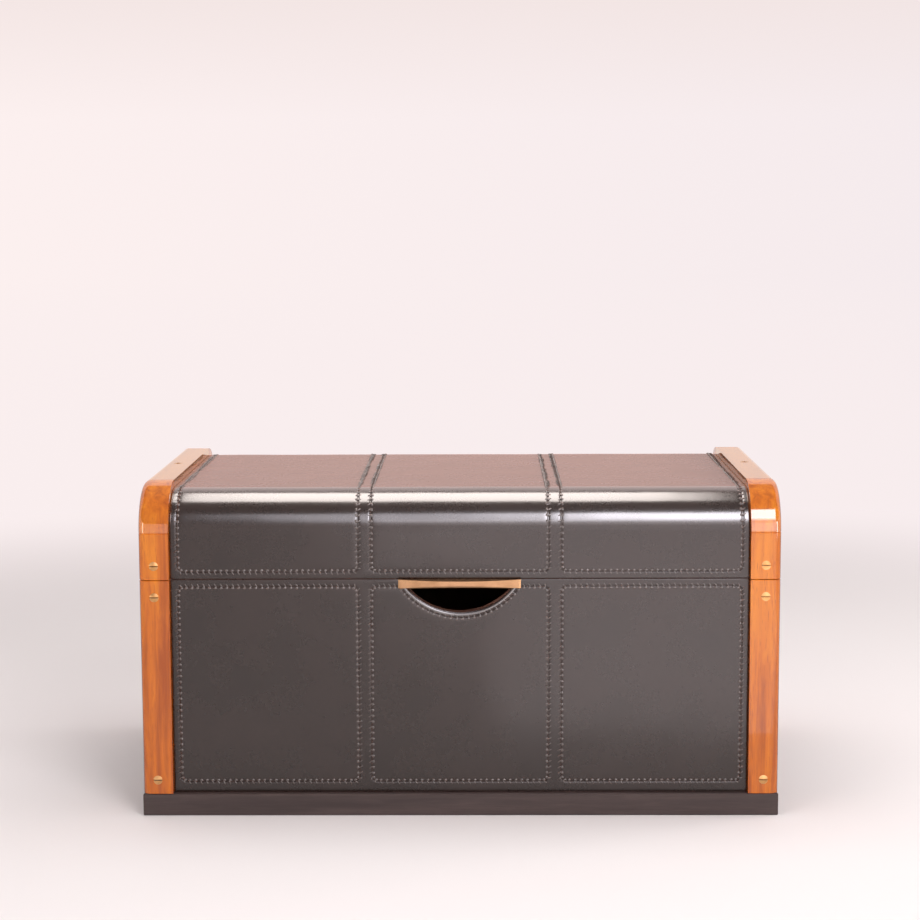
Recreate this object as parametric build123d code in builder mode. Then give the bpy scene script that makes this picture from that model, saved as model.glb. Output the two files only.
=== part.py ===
from build123d import *
import os
from math import cos, radians, sin, tan

# A storage trunk: a leather-covered plywood box and lid on a dark plinth, held between two lacquered
# wooden end frames that arch over the lid. All sizes are in millimetres. X runs along the trunk, the
# front faces -Y, and the origin is on the floor at the middle of the plinth's footprint.

# Outside
length = 800
depth = 460
height = 420
lid_height = 119
seam_gap = 0.6
corner_radius = 60

# Plinth
plinth_height = 28
plinth_thickness = 30
plinth_chamfer = 1

# Wooden end frames, made of rebated battens
batten_width = 38
batten_depth = 12
batten_outer_round = 9
batten_inner_round = 5
batten_end_chamfer = 0.6

# Plywood boards, the leather glued to them and the cloth lining
board = 12
leather_skin = 1.2
leather_pad = 1.3
end_leather = 2.4
lining = 1.5
glue_line = 0.1

# Raised leather panels, three to a face, with a flat strip of skin between and around them
strip_centre = 119
strip_width = 16.5
side_border = 9.5
seam_border = 9.4
foot_border = 14
pad_corner = 7

# Half-moon finger cutout below the lid
cutout_radius = 84
cutout_drop = 43

# Brass lip pull on the lid's lower edge
pull_length = 153
pull_height = 11.5
pull_waist = 9
pull_thickness = 5
pull_bevel = 1.2
pull_clearance = 0.8
pull_flange_length = 124
pull_flange_thickness = 2.4
pull_screw_spacing = 48

# Slotted brass screws that hold the battens
frame_screw_head = 11.5
frame_screw_dome = 0.8
frame_screw_shank = 4
frame_screw_length = 21
frame_screw_slot = 1.4
post_screw_from_plinth = 18
post_screw_from_seam = 21.5
lid_screw_from_seam = 18

# Small countersunk brass screws for the hinges, pull and stays
small_screw_head = 6.2
small_screw_shank = 3.2
small_screw_length = 11
small_screw_slot = 0.8
slot_depth = 1
screw_clearance = 0.05
sink_angle = 82

# Butt hinges at the back, let into the seam, with their barrels behind the back battens
hinge_centre = 240
hinge_length = 70
hinge_knuckles = 5
hinge_radius = 4.5
hinge_axis_behind = 1
hinge_leaf = 2
hinge_leaf_margin = 2
hinge_pin_radius = 2
hinge_pin_head_radius = 3.2
hinge_pin_head = 1.6
hinge_screw_spacing = 24
running_clearance = 0.08
knuckle_gap = 0.3

# Folding brass stays: each is a parallelogram with the hinge axis as its fourth corner
lid_opening = 95
stay_body_link = 100
stay_body_angle = 40
stay_lid_link = 110
stay_lid_angle = 8
stay_arm_width = 12
stay_arm_thickness = 2.5
stay_plate_thickness = 2
stay_plate_width = 16
stay_plate_height = 44
stay_plate_screw_spacing = 30
stay_washer_gap = 0.3
stay_pivot_radius = 2.5
stay_pivot_head_radius = 4.5
stay_pivot_head = 1.6
stay_elbow_clearance = 0.5
stay_stop_radius = 2
stay_stop_clearance = 0.5

# Worked out from the sizes above
half_length = length / 2
half_depth = depth / 2
seam_height = height - lid_height
body_top = seam_height - seam_gap / 2
lid_base = seam_height + seam_gap / 2
board_x = half_length - batten_depth
board_y = half_depth - batten_depth
inner_x = board_x - board
inner_y = board_y - board
field_x = half_length - batten_width
arc_y = half_depth - corner_radius
arc_z = height - corner_radius
skin_inset = batten_depth - glue_line
pad_inset = skin_inset - leather_skin - glue_line
face_inset = pad_inset - leather_pad
cutout_centre = body_top - cutout_drop + cutout_radius
batten_middle = half_length - batten_width / 2
lining_x = inner_x - glue_line
lining_y = inner_y - glue_line
floor_top = plinth_height + board
sides = {"left": -1, "right": 1}
ends = {"front": -1, "back": 1}


def write(part, name):
    """Labels a finished piece and writes its STEP file."""
    part.label = name
    export_step(part, f"parts/{name}.step")


def arch(inset, low, plane=Plane.YZ):
    """Outline of the trunk's end above height low, inset from the outer face of the wood."""
    side, top = half_depth - inset, height - inset
    with BuildSketch(plane) as outline:
        with BuildLine():
            rounded = FilletPolyline(
                (-side, low), (-side, top), (side, top), (side, low), radius=corner_radius - inset
            )
            Line(rounded @ 1, rounded @ 0)
        make_face()
    return outline.sketch


def batten_section(plane):
    """Rebated section of a right-hand batten, measured outwards from the centre of the corner curve."""
    with BuildSketch(plane) as section:
        with BuildLine():
            Polyline(
                (field_x, -corner_radius),
                (half_length, -corner_radius),
                (half_length, batten_width - corner_radius),
                (board_x, batten_width - corner_radius),
                (board_x, batten_depth - corner_radius),
                (field_x, batten_depth - corner_radius),
                close=True,
            )
        make_face()
        front_inner, front_outer, side_inner = [
            section.vertices().sort_by_distance(point)[0]
            for point in (
                (field_x, -corner_radius),
                (half_length, -corner_radius),
                (half_length, batten_width - corner_radius),
            )
        ]
        fillet(front_outer, batten_outer_round)
        fillet([front_inner, side_inner], batten_inner_round)
    return section.sketch


def panel_spans():
    """Ends along X of the left, centre and right leather panels."""
    outer = field_x - side_border
    near, far = strip_centre - strip_width / 2, strip_centre + strip_width / 2
    return {"left": (-outer, -far), "centre": (-near, near), "right": (far, outer)}


def cut_finger_hole():
    """Cuts the half-moon through the front of the piece being built."""
    with BuildSketch(Plane.XZ.offset(inner_y - board)) as hole:
        with Locations((0, cutout_centre)):
            Circle(cutout_radius)
    extrude(hole.sketch, amount=board * 3, mode=Mode.SUBTRACT)


def cut_hinge_seats(low, high):
    """Cuts the two hinge seats into the back of the piece being built, between two heights."""
    seat_front = inner_y + hinge_leaf_margin - knuckle_gap
    seat_depth = half_depth - seat_front
    with BuildSketch(Plane.XY.offset(low)) as seats:
        with Locations(*[(side * hinge_centre, seat_front) for side in sides.values()]):
            Rectangle(hinge_length + 2 * knuckle_gap, seat_depth, align=(Align.CENTER, Align.MIN))
    extrude(seats.sketch, amount=high - low, mode=Mode.SUBTRACT)


def screw_hole(radius, depth_in, places):
    """Bores pilot holes into the piece being built, inwards from each place."""
    with Locations(*places):
        Cylinder(
            radius,
            depth_in,
            align=(Align.CENTER, Align.CENTER, Align.MAX),
            mode=Mode.SUBTRACT,
        )


def screw(head, shank, reach, slot, dome):
    """A slotted countersunk screw along -Z, with its head's rim at the origin."""
    head_radius, shank_radius = head / 2, shank / 2
    cone = (head_radius - shank_radius) / tan(radians(sink_angle / 2))
    with BuildPart() as piece:
        with BuildSketch(Plane.XZ):
            with BuildLine():
                if dome:
                    TangentArc((0, dome), (head_radius, 0), tangent=(1, 0))
                else:
                    Line((0, 0), (head_radius, 0))
                Polyline(
                    (head_radius, 0),
                    (shank_radius, -cone),
                    (shank_radius, shank_radius - reach),
                    (0, -reach),
                    (0, dome),
                )
            make_face()
        revolve(axis=Axis.Z)
        with Locations((0, 0, -slot_depth)):
            Box(
                head * 2,
                slot,
                head,
                align=(Align.CENTER, Align.CENTER, Align.MIN),
                mode=Mode.SUBTRACT,
            )
    return piece.part


def outward(x, y, z, direction, along=(1, 0, 0)):
    """A place on a surface, with its Z pointing out of the wood."""
    return Plane(origin=(x, y, z), x_dir=along, z_dir=direction)


# Places of the frame screws: two in each body post, one in each lid post and one in each top rail.
post_heights = (plinth_height + post_screw_from_plinth, seam_height - post_screw_from_seam)
lid_screw_height = seam_height + lid_screw_from_seam
post_screw_places = [
    outward(side * batten_middle, end * half_depth, z, (0, end, 0))
    for side in sides.values()
    for end in ends.values()
    for z in post_heights
]
lid_post_places = [
    outward(side * batten_middle, end * half_depth, lid_screw_height, (0, end, 0))
    for side in sides.values()
    for end in ends.values()
]
rail_places = [
    outward(side * batten_middle, 0, height, (0, 0, 1), along=(0, 1, 0)) for side in sides.values()
]

# Corners of the stays' parallelogram, seen from the end. The fourth is the hinge axis.
hinge_y = half_depth + hinge_axis_behind
stay_body = (
    hinge_y - stay_body_link * cos(radians(stay_body_angle)),
    seam_height - stay_body_link * sin(radians(stay_body_angle)),
)
stay_lid = (
    hinge_y - stay_lid_link * cos(radians(stay_lid_angle)),
    seam_height + stay_lid_link * sin(radians(stay_lid_angle)),
)
stay_elbow = (
    stay_body[0] + stay_lid[0] - hinge_y,
    stay_body[1] + stay_lid[1] - seam_height,
)

# Layers of a stay, counted inwards from the lining of the trunk's end.
stay_wall = lining_x - lining
stay_plate_face = stay_wall - stay_plate_thickness
lower_arm_x = stay_plate_face - stay_washer_gap
upper_arm_x = lower_arm_x - stay_arm_thickness - stay_washer_gap
stay_body_plate_middle = stay_body[1] - stay_plate_height / 2 + stay_plate_width / 2
stay_lid_plate_middle = stay_lid[1] + stay_plate_height / 2 - stay_plate_width / 2


def stay_screw_places(y, middle):
    """Places of the screws in the stay plates at both ends of the trunk."""
    return [
        outward(side * stay_plate_face, y, middle + step, (-side, 0, 0), along=(0, 1, 0))
        for side in sides.values()
        for step in (-stay_plate_screw_spacing / 2, stay_plate_screw_spacing / 2)
    ]


def hinge_screw_places(z, direction):
    """Places of the screws in one leaf of both hinges."""
    return [
        outward(side * hinge_centre + step, inner_y + board / 2, z, (0, 0, direction))
        for side in sides.values()
        for step in (-hinge_screw_spacing, 0, hinge_screw_spacing)
    ]


flange_low = lid_base - pull_flange_thickness
pull_screw_places = [
    outward(step, -inner_y - board / 2, flange_low, (0, 0, -1))
    for step in (-pull_screw_spacing, 0, pull_screw_spacing)
]
body_small_places = hinge_screw_places(body_top, 1) + stay_screw_places(
    stay_body[0], stay_body_plate_middle
)
lid_small_places = (
    hinge_screw_places(lid_base, -1)
    + stay_screw_places(stay_lid[0], stay_lid_plate_middle)
    + pull_screw_places
)
frame_bore = frame_screw_shank / 2 + screw_clearance
small_bore = small_screw_shank / 2 + screw_clearance
frame_bore_depth = frame_screw_length + screw_clearance
small_bore_depth = small_screw_length + screw_clearance


def sink_holes(places, head, shank, depth_in):
    """Countersinks the piece being built for the screws at these places."""
    with Locations(*places):
        CounterSinkHole(
            shank / 2 + screw_clearance,
            head / 2 + screw_clearance,
            depth=depth_in,
            counter_sink_angle=sink_angle,
        )


os.makedirs("parts", exist_ok=True)

# Plinth: four boards, mitred at the corners, flush with the battens above them.
for name, end in ends.items():
    with BuildPart() as plinth_board:
        with BuildSketch():
            with BuildLine():
                Polyline(
                    (-half_length, end * half_depth),
                    (half_length, end * half_depth),
                    (half_length - plinth_thickness, end * (half_depth - plinth_thickness)),
                    (plinth_thickness - half_length, end * (half_depth - plinth_thickness)),
                    close=True,
                )
            make_face()
        extrude(amount=plinth_height)
        outer = plinth_board.faces().sort_by(Axis.Y)[0 if end < 0 else -1]
        chamfer(outer.edges().filter_by(Axis.X), plinth_chamfer)
    write(plinth_board.part, f"plinth_{name}")

for name, side in sides.items():
    with BuildPart() as plinth_board:
        with BuildSketch():
            with BuildLine():
                Polyline(
                    (side * half_length, -half_depth),
                    (side * half_length, half_depth),
                    (side * (half_length - plinth_thickness), half_depth - plinth_thickness),
                    (side * (half_length - plinth_thickness), plinth_thickness - half_depth),
                    close=True,
                )
            make_face()
        extrude(amount=plinth_height)
        outer = plinth_board.faces().sort_by(Axis.X)[0 if side < 0 else -1]
        chamfer(outer.edges().filter_by(Axis.Y), plinth_chamfer)
    write(plinth_board.part, f"plinth_{name}")

# Box: the bottom stands on the plinth's inner edge, between the four walls.
with BuildPart() as bottom_board:
    with BuildSketch(Plane.XY.offset(plinth_height)):
        Rectangle(2 * inner_x, 2 * inner_y)
    extrude(amount=board)
write(bottom_board.part, "bottom_board")

for name, end in ends.items():
    with BuildPart() as long_board:
        with BuildSketch(Plane.XY.offset(plinth_height)):
            with Locations((0, end * (inner_y + board / 2))):
                Rectangle(2 * inner_x, board)
        extrude(amount=body_top - plinth_height)
        if name == "front":
            cut_finger_hole()
        else:
            cut_hinge_seats(body_top - hinge_leaf, body_top)
            screw_hole(small_bore, small_bore_depth, body_small_places)
    write(long_board.part, f"body_{name}_board")

for name, side in sides.items():
    with BuildPart() as end_board:
        with BuildSketch(Plane.XY.offset(plinth_height)):
            with Locations((side * (inner_x + board / 2), 0)):
                Rectangle(board, 2 * board_y)
        extrude(amount=body_top - plinth_height)
        screw_hole(frame_bore, frame_bore_depth, post_screw_places)
        screw_hole(small_bore, small_bore_depth, body_small_places)
    write(end_board.part, f"body_{name}_board")

# Leather on the box: a skin over each long wall, three raised panels on it, and one hide on each end.
skin_half = field_x - glue_line
for name, end in ends.items():
    with BuildPart() as skin:
        with BuildSketch(Plane.XY.offset(plinth_height)):
            with Locations((0, end * (half_depth - skin_inset + leather_skin / 2))):
                Rectangle(2 * skin_half, leather_skin)
        extrude(amount=body_top - plinth_height)
        if name == "front":
            cut_finger_hole()
        else:
            cut_hinge_seats(body_top - hinge_leaf, body_top)
    write(skin.part, f"body_{name}_leather")

panel_low = plinth_height + foot_border
panel_high = body_top - seam_border
for end_name, end in ends.items():
    for name, (start, stop) in panel_spans().items():
        with BuildPart() as panel:
            with BuildSketch(Plane.XZ.offset(-end * (half_depth - pad_inset))) as outline:
                with Locations(((start + stop) / 2, (panel_low + panel_high) / 2)):
                    RectangleRounded(stop - start, panel_high - panel_low, pad_corner)
            extrude(outline.sketch, amount=-end * leather_pad)
            if end_name == "front" and name == "centre":
                cut_finger_hole()
        write(panel.part, f"{end_name}_{name}_panel")

hide_half = half_depth - batten_width - glue_line
for name, side in sides.items():
    with BuildPart() as hide:
        with BuildSketch(Plane.XY.offset(plinth_height)):
            with Locations((side * (board_x + glue_line + end_leather / 2), 0)):
                Rectangle(end_leather, 2 * hide_half)
        extrude(amount=body_top - plinth_height)
    write(hide.part, f"body_{name}_leather")

# Cloth lining of the box: a floor and four walls in one sewn piece.
with BuildPart() as body_lining:
    with BuildSketch(Plane.XY.offset(floor_top)):
        Rectangle(2 * lining_x, 2 * lining_y)
    extrude(amount=body_top - floor_top)
    with BuildSketch(Plane.XY.offset(floor_top + lining)):
        Rectangle(2 * (lining_x - lining), 2 * (lining_y - lining))
    extrude(amount=body_top - floor_top, mode=Mode.SUBTRACT)
    cut_finger_hole()
    screw_hole(small_bore, small_bore_depth, body_small_places)
write(body_lining.part, "body_lining")

# Body posts and lid posts: upright battens at the four corners.
for level, low, high, heights in (
    ("post", plinth_height, body_top, post_heights),
    ("lid_post", lid_base, arc_z, (lid_screw_height,)),
):
    with BuildPart() as post:
        extrude(batten_section(Plane((0, -arc_y, low))), amount=high - low)
        levels = post.faces().sort_by(Axis.Z)
        chamfer(levels[0].edges() + levels[-1].edges(), batten_end_chamfer)
        sink_holes(
            [outward(batten_middle, -half_depth, z, (0, -1, 0)) for z in heights],
            frame_screw_head,
            frame_screw_shank,
            frame_screw_length,
        )
    for end_name, end in ends.items():
        for side_name, side in sides.items():
            with BuildPart() as placed_post:
                add(post.part)
                if side < 0:
                    mirror(about=Plane.YZ, mode=Mode.REPLACE)
                if end > 0:
                    mirror(about=Plane.XZ, mode=Mode.REPLACE)
            write(placed_post.part, f"{end_name}_{side_name}_{level}")

# Corner blocks: the batten section turned a quarter round the corner curve.
with BuildPart() as corner_block:
    section = batten_section(Plane((0, -arc_y, arc_z)))
    revolve(section, axis=Axis((0, -arc_y, arc_z), (-1, 0, 0)), revolution_arc=90)
    foot = corner_block.faces().sort_by(Axis.Z)[0]
    crown = corner_block.faces().sort_by(Axis.Y)[-1]
    chamfer(foot.edges() + crown.edges(), batten_end_chamfer)
for end_name, end in ends.items():
    for side_name, side in sides.items():
        with BuildPart() as placed_block:
            add(corner_block.part)
            if side < 0:
                mirror(about=Plane.YZ, mode=Mode.REPLACE)
            if end > 0:
                mirror(about=Plane.XZ, mode=Mode.REPLACE)
        write(placed_block.part, f"{end_name}_{side_name}_corner")

# Top rails: straight battens over the lid's ends.
with BuildPart() as top_rail:
    rail_plane = Plane(origin=(0, -arc_y, arc_z), x_dir=(1, 0, 0), z_dir=(0, 1, 0))
    extrude(batten_section(rail_plane), amount=2 * arc_y)
    rail_ends = top_rail.faces().sort_by(Axis.Y)
    chamfer(rail_ends[0].edges() + rail_ends[-1].edges(), batten_end_chamfer)
    sink_holes(
        [outward(batten_middle, 0, height, (0, 0, 1))],
        frame_screw_head,
        frame_screw_shank,
        frame_screw_length,
    )
for name, side in sides.items():
    with BuildPart() as placed_rail:
        add(top_rail.part)
        if side < 0:
            mirror(about=Plane.YZ, mode=Mode.REPLACE)
    write(placed_rail.part, f"{name}_top_rail")

# Lid boards: a flat top between two bent boards, and an arched board at each end.
with BuildPart() as lid_top_board:
    with BuildSketch(Plane.XY.offset(height - batten_depth - board)):
        Rectangle(2 * inner_x, 2 * arc_y)
    extrude(amount=board)
write(lid_top_board.part, "lid_top_board")

for name, end in ends.items():
    with BuildPart() as bent_board:
        extrude(arch(batten_depth, lid_base), amount=inner_x, both=True)
        extrude(
            arch(batten_depth + board, lid_base - board),
            amount=inner_x,
            both=True,
            mode=Mode.SUBTRACT,
        )
        cut_plane = Plane.XZ.offset(-end * arc_y)
        split(bisect_by=cut_plane, keep=Keep.TOP if end < 0 else Keep.BOTTOM)
        if name == "back":
            cut_hinge_seats(lid_base, lid_base + hinge_leaf)
        screw_hole(small_bore, small_bore_depth, lid_small_places)
    write(bent_board.part, f"lid_{name}_bend")

for name, side in sides.items():
    with BuildPart() as lid_end:
        extrude(arch(batten_depth, lid_base, Plane.YZ.offset(side * inner_x)), amount=side * board)
        screw_hole(frame_bore, frame_bore_depth, lid_post_places + rail_places)
        screw_hole(small_bore, small_bore_depth, lid_small_places)
    write(lid_end.part, f"lid_{name}_board")

# Leather on the lid: one skin over front, top and back, three raised panels, and a hide on each end.
with BuildPart() as lid_leather:
    extrude(arch(skin_inset - leather_skin, lid_base), amount=skin_half, both=True)
    extrude(arch(skin_inset, lid_base - board), amount=skin_half, both=True, mode=Mode.SUBTRACT)
    cut_hinge_seats(lid_base, lid_base + hinge_leaf)
write(lid_leather.part, "lid_leather")

for name, (start, stop) in panel_spans().items():
    with BuildPart() as panel:
        panel_plane = Plane.YZ.offset(start)
        extrude(arch(face_inset, lid_base + seam_border, panel_plane), amount=stop - start)
        extrude(
            arch(pad_inset, lid_base, panel_plane), amount=stop - start, mode=Mode.SUBTRACT
        )
        fillet(panel.edges().filter_by(Axis.Y).group_by(Axis.Z)[0], pad_corner)
    write(panel.part, f"lid_{name}_panel")

for name, side in sides.items():
    with BuildPart() as hide:
        hide_plane = Plane.YZ.offset(side * (board_x + glue_line))
        extrude(arch(batten_width + glue_line, lid_base, hide_plane), amount=side * end_leather)
    write(hide.part, f"lid_{name}_leather")

# Cloth lining of the lid, open below.
with BuildPart() as lid_lining:
    lining_inset = batten_depth + board + glue_line
    extrude(arch(lining_inset, lid_base), amount=lining_x, both=True)
    extrude(
        arch(lining_inset + lining, lid_base - board),
        amount=lining_x - lining,
        both=True,
        mode=Mode.SUBTRACT,
    )
    screw_hole(small_bore, small_bore_depth, lid_small_places)
write(lid_lining.part, "lid_lining")

# Brass pull: a waisted bar in front of the seam, with a flange screwed under the lid's front edge.
bar_back = half_depth - face_inset + pull_clearance
waist_in = (pull_height - pull_waist) / 2
with BuildPart() as lid_pull:
    with BuildSketch(Plane.XZ.offset(bar_back)):
        with BuildLine():
            bar_top, bar_low = lid_base, lid_base - pull_height
            ThreePointArc(
                (-pull_length / 2, bar_top), (0, bar_top - waist_in), (pull_length / 2, bar_top)
            )
            Line((pull_length / 2, bar_top), (pull_length / 2, bar_low))
            ThreePointArc(
                (pull_length / 2, bar_low), (0, bar_low + waist_in), (-pull_length / 2, bar_low)
            )
            Line((-pull_length / 2, bar_low), (-pull_length / 2, bar_top))
        make_face()
    extrude(amount=pull_thickness)
    chamfer(lid_pull.faces().sort_by(Axis.Y)[0].edges(), pull_bevel)
    with BuildSketch(Plane.XY.offset(flange_low)):
        with Locations((0, -bar_back)):
            Rectangle(pull_flange_length, bar_back - inner_y - screw_clearance, align=(Align.CENTER, Align.MIN))
    extrude(amount=pull_flange_thickness)
    sink_holes(pull_screw_places, small_screw_head, small_screw_shank, pull_flange_thickness)
write(lid_pull.part, "lid_pull")


def hinge_leaves(first_knuckle, leaf_low):
    """Both hinges' leaves with every second knuckle, counted from first_knuckle."""
    pitch = hinge_length / hinge_knuckles
    leaf_start = hinge_centre - hinge_length / 2
    plate_front = inner_y + hinge_leaf_margin
    plate_back = hinge_y - hinge_radius - screw_clearance * 10
    with BuildPart() as leaf:
        with BuildSketch(Plane.XY.offset(leaf_low)):
            with Locations((hinge_centre, plate_front)):
                Rectangle(
                    hinge_length, plate_back - plate_front, align=(Align.CENTER, Align.MIN)
                )
            for knuckle in range(first_knuckle, hinge_knuckles, 2):
                with Locations((leaf_start + (knuckle + 0.5) * pitch, plate_front)):
                    Rectangle(
                        pitch - knuckle_gap, hinge_y - plate_front, align=(Align.CENTER, Align.MIN)
                    )
        extrude(amount=hinge_leaf)
        for knuckle in range(first_knuckle, hinge_knuckles, 2):
            knuckle_plane = Plane.YZ.offset(leaf_start + knuckle * pitch + knuckle_gap / 2)
            with BuildSketch(knuckle_plane):
                with Locations((hinge_y, seam_height)):
                    Circle(hinge_radius)
            extrude(amount=pitch - knuckle_gap)
        with BuildSketch(Plane.YZ.offset(leaf_start)):
            with Locations((hinge_y, seam_height)):
                Circle(hinge_pin_radius + running_clearance)
        extrude(amount=hinge_length, mode=Mode.SUBTRACT)
        mirror(about=Plane.YZ)
    return leaf


with hinge_leaves(0, body_top - hinge_leaf) as hinge_body_leaves:
    sink_holes(
        hinge_screw_places(body_top, 1), small_screw_head, small_screw_shank, hinge_leaf
    )
write(hinge_body_leaves.part, "hinge_body_leaves")

with hinge_leaves(1, lid_base) as hinge_lid_leaves:
    sink_holes(
        hinge_screw_places(lid_base, -1), small_screw_head, small_screw_shank, hinge_leaf
    )
write(hinge_lid_leaves.part, "hinge_lid_leaves")

# Hinge pins, with a low round head seated on each end of the barrel.
with BuildPart() as hinge_pins:
    barrel_start = hinge_centre - (hinge_length - knuckle_gap) / 2
    barrel_length = hinge_length - knuckle_gap
    with BuildSketch(Plane.YZ.offset(barrel_start)):
        with Locations((hinge_y, seam_height)):
            Circle(hinge_pin_radius)
    extrude(amount=barrel_length)
    for start, way in ((barrel_start, -1), (barrel_start + barrel_length, 1)):
        with BuildSketch(Plane.YZ.offset(start)) as head:
            with Locations((hinge_y, seam_height)):
                Circle(hinge_pin_head_radius)
        extrude(head.sketch, amount=way * hinge_pin_head)
    chamfer(
        hinge_pins.faces().sort_by(Axis.X)[0].edges()
        + hinge_pins.faces().sort_by(Axis.X)[-1].edges(),
        hinge_pin_head / 2,
    )
    mirror(about=Plane.YZ)
write(hinge_pins.part, "hinge_pins")


def disc(plane, centre, radius):
    """A round face on a plane that is square to X."""
    with BuildSketch(plane) as face:
        with Locations(centre):
            Circle(radius)
    return face.sketch


def stay_bracket(pivot, middle, arm_x):
    """Plates with their pivots for both ends: pivot and middle seen from the end, arm_x the arm's outer face."""
    with BuildPart() as bracket:
        with BuildSketch(Plane.YZ.offset(stay_plate_face)):
            with Locations((pivot[0], middle)):
                RectangleRounded(stay_plate_width, stay_plate_height, stay_plate_width / 2.5)
        extrude(amount=stay_plate_thickness)
        if stay_plate_face - arm_x > stay_arm_thickness:
            boss = disc(Plane.YZ.offset(arm_x + stay_washer_gap), pivot, stay_pivot_head_radius)
            extrude(boss, amount=stay_plate_face - arm_x - stay_washer_gap)
        inner_face = arm_x - stay_arm_thickness - stay_washer_gap
        stud = disc(Plane.YZ.offset(inner_face), pivot, stay_pivot_radius)
        extrude(stud, amount=stay_plate_face - inner_face)
        extrude(
            disc(Plane.YZ.offset(inner_face), pivot, stay_pivot_head_radius),
            amount=-stay_pivot_head,
        )
        head_rim = bracket.faces().sort_by(Axis.X)[0].edges()
        chamfer(head_rim, stay_pivot_head / 2)
        with Locations(
            *[
                outward(stay_plate_face, pivot[0], middle + step, (-1, 0, 0), along=(0, 1, 0))
                for step in (-stay_plate_screw_spacing / 2, stay_plate_screw_spacing / 2)
            ]
        ):
            CounterSinkHole(
                small_bore,
                small_screw_head / 2 + screw_clearance,
                depth=stay_plate_thickness,
                counter_sink_angle=sink_angle,
            )
        mirror(about=Plane.YZ)
    return bracket.part


write(stay_bracket(stay_body, stay_body_plate_middle, lower_arm_x), "stay_body_brackets")
write(stay_bracket(stay_lid, stay_lid_plate_middle, upper_arm_x), "stay_lid_brackets")


def arm_bar(arm_x, start, stop):
    """The flat bar of a stay's arm, from pivot to pivot."""
    middle = ((start[0] + stop[0]) / 2, (start[1] + stop[1]) / 2)
    with BuildSketch(Plane.YZ.offset(arm_x)) as bar:
        SlotCenterPoint(middle, stop, stay_arm_width)
    return bar.sketch


# Lower arm, from the body's bracket to the elbow. The elbow is the pivot left open, with clearance.
with BuildPart() as lower_arm:
    extrude(arm_bar(lower_arm_x, stay_body, stay_elbow), amount=-stay_arm_thickness)
    for centre, radius in (
        (stay_body, stay_pivot_radius + running_clearance),
        (stay_elbow, stay_pivot_radius + stay_elbow_clearance),
    ):
        hole = disc(Plane.YZ.offset(lower_arm_x), centre, radius)
        extrude(hole, amount=-stay_arm_thickness, mode=Mode.SUBTRACT)

# Upper arm, from the lid's bracket to the elbow, with the elbow's rivet. A stop pin on its tail meets
# the lower arm's edge when the lid is fully open.
stop_turn = 180 - stay_lid_angle - lid_opening - stay_body_angle
stop_reach = (stay_arm_width / 2 + stay_stop_radius + stay_stop_clearance) / sin(radians(stop_turn))
stop_pin = (
    stay_elbow[0] - stop_reach * cos(radians(stay_body_angle)),
    stay_elbow[1] - stop_reach * sin(radians(stay_body_angle)),
)
elbow_head_x = lower_arm_x + stay_washer_gap
with BuildPart() as upper_arm:
    extrude(arm_bar(upper_arm_x, stay_lid, stay_elbow), amount=-stay_arm_thickness)
    extrude(arm_bar(upper_arm_x, stay_elbow, stop_pin), amount=-stay_arm_thickness)
    hole = disc(Plane.YZ.offset(upper_arm_x), stay_lid, stay_pivot_radius + running_clearance)
    extrude(hole, amount=-stay_arm_thickness, mode=Mode.SUBTRACT)
    rivet = disc(Plane.YZ.offset(upper_arm_x), stay_elbow, stay_pivot_radius)
    extrude(rivet, amount=elbow_head_x - upper_arm_x)
    rivet_head = disc(Plane.YZ.offset(elbow_head_x), stay_elbow, stay_pivot_head_radius)
    extrude(rivet_head, amount=stay_pivot_head - stay_washer_gap)
    inner_head = disc(
        Plane.YZ.offset(upper_arm_x - stay_arm_thickness), stay_elbow, stay_pivot_head_radius
    )
    extrude(inner_head, amount=-stay_pivot_head)
    pin = disc(Plane.YZ.offset(upper_arm_x), stop_pin, stay_stop_radius)
    extrude(pin, amount=lower_arm_x - upper_arm_x)

for name, side in sides.items():
    for arm, arm_name in ((lower_arm, "lower"), (upper_arm, "upper")):
        with BuildPart() as placed_arm:
            add(arm.part)
            if side < 0:
                mirror(about=Plane.YZ, mode=Mode.REPLACE)
        write(placed_arm.part, f"{name}_stay_{arm_name}_arm")

# Screws, each kind in one group.
frame_screw = screw(
    frame_screw_head, frame_screw_shank, frame_screw_length, frame_screw_slot, frame_screw_dome
)
small_screw = screw(
    small_screw_head, small_screw_shank, small_screw_length, small_screw_slot, 0
)
for name, piece, places in (
    ("post_screws", frame_screw, post_screw_places),
    ("lid_frame_screws", frame_screw, lid_post_places + rail_places),
    ("body_small_screws", small_screw, body_small_places),
    ("lid_small_screws", small_screw, lid_small_places),
):
    with BuildPart() as screws:
        with Locations(*places):
            add(piece)
    write(screws.part, name)
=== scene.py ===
# %% [markdown]
# # A leather-covered storage trunk
# This script dresses a storage trunk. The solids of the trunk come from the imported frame, in metres, with
# the origin on the floor under its middle: X runs along the trunk, the front faces -Y, and Z points up.
# The wooden battens, boards, screws, hinges and stays keep their solids and get a finish. The leather,
# its lacing, the cloth linings and the brass pull are modelled here, because their soft edges are what
# the eye sees first.

# %% Load the frame
from math import asin, cos, pi, radians, sin, sqrt

import bmesh
import bpy
from mathutils import Matrix, Vector, noise


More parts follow.
